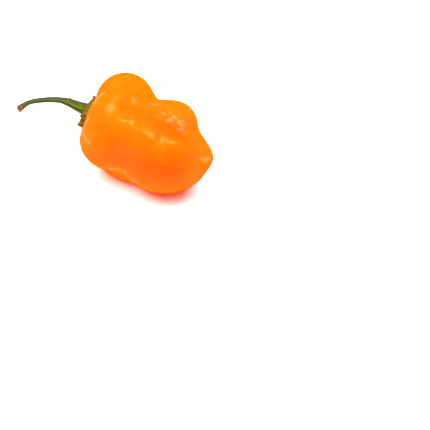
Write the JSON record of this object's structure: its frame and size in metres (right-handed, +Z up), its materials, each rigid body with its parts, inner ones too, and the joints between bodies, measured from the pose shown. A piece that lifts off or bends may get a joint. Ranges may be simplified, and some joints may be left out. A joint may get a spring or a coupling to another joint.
{
  "type": "chilli pepper",
  "caption": "Ripe orange habanero chilli pepper, a lobed pod with its calyx and curved stem, lying on its side.",
  "frame": {"origin": "on the surface that the chilli lies on, under the middle of its bounding box", "axes": "+X along the pod from its stem towards its tip, +Z up, +Y away from the side that the picture shows"},
  "size_m": [0.072, 0.0323, 0.0322],
  "materials": {
    "pod_skin": "ripe orange skin, smooth and waxy, softly glossy",
    "calyx_leaf": "olive brown leaf tissue, dull",
    "stem_green": "green ribbed stem, slightly waxy, brown at the cut"
  },
  "bodies": {
    "root": {"pod": "pod_skin", "calyx": "calyx_leaf", "stem": "stem_green"}
  },
  "joints": []
}
